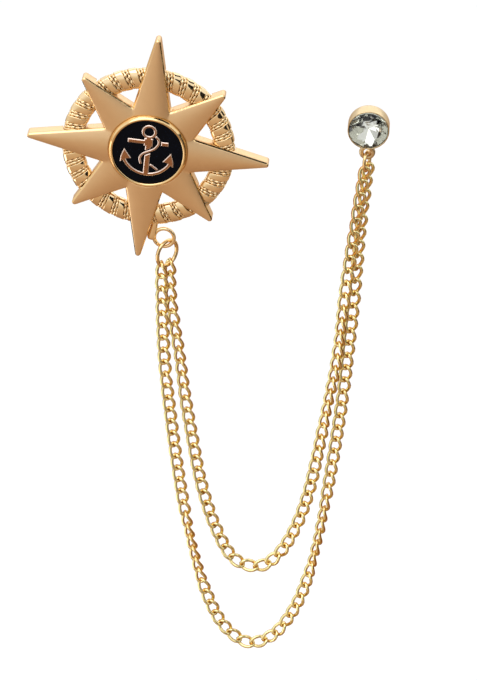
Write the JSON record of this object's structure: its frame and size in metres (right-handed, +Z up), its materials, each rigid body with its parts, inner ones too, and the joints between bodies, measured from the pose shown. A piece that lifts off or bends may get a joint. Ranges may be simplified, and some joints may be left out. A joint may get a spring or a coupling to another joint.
{
  "type": "tie pin with chains",
  "caption": "Star brooch with a rope ring and an anchor in black enamel, joined to a crystal stud by two hanging curb chains; both ends pin through cloth.",
  "frame": {"origin": "point behind the star's centre where its post goes into the cloth", "axes": "+Z up, the front faces -Y, the posts point along +Y into the cloth"},
  "size_m": [0.0622, 0.0119, 0.1272],
  "materials": {
    "satin_gold": "satin",
    "polished_gold": "polished",
    "black_enamel": "gloss",
    "anchor_gold": "satin",
    "chain_gold": "polished",
    "crystal": "faceted and polished",
    "plain_steel": "plain drawn wire"
  },
  "bodies": {
    "root": {"star": "satin_gold", "rope_ring": "polished_gold", "medallion_cup": "polished_gold", "enamel": "black_enamel", "anchor": "anchor_gold", "star_jump_ring": "polished_gold", "chain_outer": "chain_gold", "chain_inner": "chain_gold", "stud_jump_ring": "polished_gold", "stud_cup": "polished_gold", "stone": "crystal", "star_post": "plain_steel", "stud_post": "plain_steel"}
  },
  "joints": []
}
